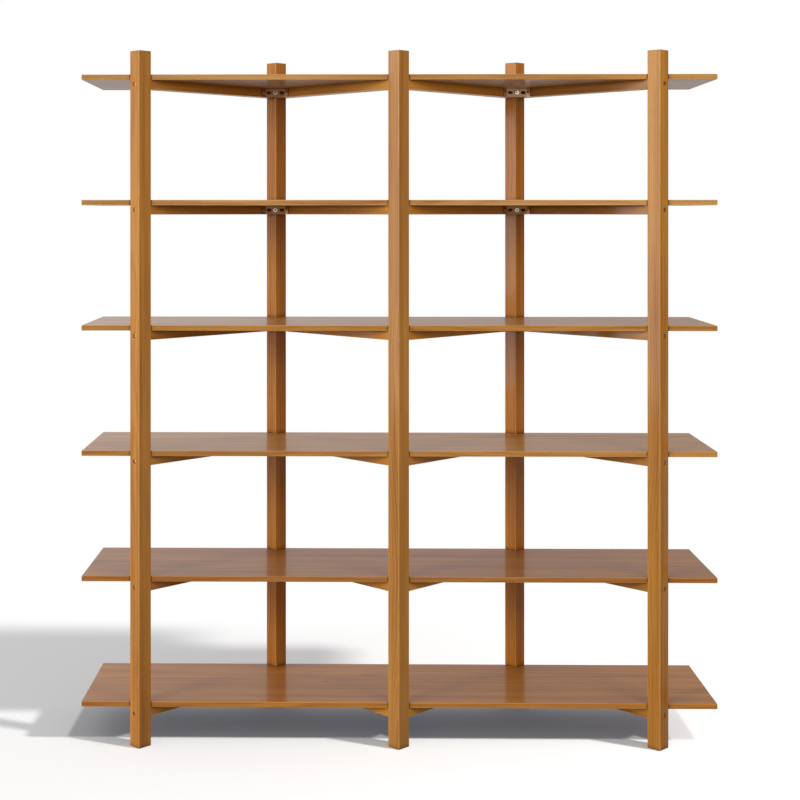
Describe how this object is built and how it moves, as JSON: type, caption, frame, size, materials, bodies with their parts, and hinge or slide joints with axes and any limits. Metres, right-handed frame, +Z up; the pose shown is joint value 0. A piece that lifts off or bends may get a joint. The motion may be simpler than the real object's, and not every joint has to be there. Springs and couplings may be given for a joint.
{
  "type": "bookcase",
  "caption": "Open wooden bookcase with thin full-length shelves on diagonal rails that zigzag between square posts set on edge in two rows.",
  "frame": {"origin": "on the floor, at the middle of the bookcase in plan", "axes": "+X along the shelves to the right as seen from the front, +Y from the front row of posts to the back row, +Z up"},
  "size_m": [1.77, 0.4178, 1.937],
  "materials": {
    "post_wood": "satin lacquer over a warm honey stain",
    "rail_wood": "satin lacquer over a warm honey stain",
    "shelf_wood": "satin lacquer over a warm honey stain",
    "dowel_wood": "bare beech",
    "zinc_steel": "zinc plated",
    "bolt_steel": "bright zinc plated"
  },
  "bodies": {
    "root": {"post_front_left": "post_wood", "post_front_centre": "post_wood", "post_front_right": "post_wood", "post_back_left": "post_wood", "post_back_right": "post_wood", "shelf_1": "shelf_wood", "rail_1_left_outer": "rail_wood", "rail_1_left_inner": "rail_wood", "rail_1_right_inner": "rail_wood", "rail_1_right_outer": "rail_wood", "corner_bracket_1_front_centre": "zinc_steel", "corner_bracket_1_back_left": "zinc_steel", "corner_bracket_1_back_right": "zinc_steel", "shelf_2": "shelf_wood", "rail_2_left_outer": "rail_wood", "rail_2_left_inner": "rail_wood", "rail_2_right_inner": "rail_wood", "rail_2_right_outer": "rail_wood", "corner_bracket_2_front_centre": "zinc_steel", "corner_bracket_2_back_left": "zinc_steel", "corner_bracket_2_back_right": "zinc_steel", "shelf_3": "shelf_wood", "rail_3_left_outer": "rail_wood", "rail_3_left_inner": "rail_wood", "rail_3_right_inner": "rail_wood", "rail_3_right_outer": "rail_wood", "corner_bracket_3_front_centre": "zinc_steel", "corner_bracket_3_back_left": "zinc_steel", "corner_bracket_3_back_right": "zinc_steel", "shelf_4": "shelf_wood", "rail_4_left_outer": "rail_wood", "rail_4_left_inner": "rail_wood", "rail_4_right_inner": "rail_wood", "rail_4_right_outer": "rail_wood", "corner_bracket_4_front_centre": "zinc_steel", "corner_bracket_4_back_left": "zinc_steel", "corner_bracket_4_back_right": "zinc_steel", "shelf_5": "shelf_wood", "rail_5_left_outer": "rail_wood", "rail_5_left_inner": "rail_wood", "rail_5_right_inner": "rail_wood", "rail_5_right_outer": "rail_wood", "corner_bracket_5_front_centre": "zinc_steel", "corner_bracket_5_back_left": "zinc_steel", "corner_bracket_5_back_right": "zinc_steel", "shelf_6": "shelf_wood", "rail_6_left_outer": "rail_wood", "rail_6_left_inner": "rail_wood", "rail_6_right_inner": "rail_wood", "rail_6_right_outer": "rail_wood", "corner_bracket_6_front_centre": "zinc_steel", "corner_bracket_6_back_left": "zinc_steel", "corner_bracket_6_back_right": "zinc_steel", "through_bolts": "bolt_steel", "barrel_nuts": "zinc_steel", "corner_bolts": "bolt_steel", "insert_nuts": "zinc_steel", "bracket_screws": "bolt_steel", "dowels": "dowel_wood", "shelf_screws": "bolt_steel"}
  },
  "joints": []
}
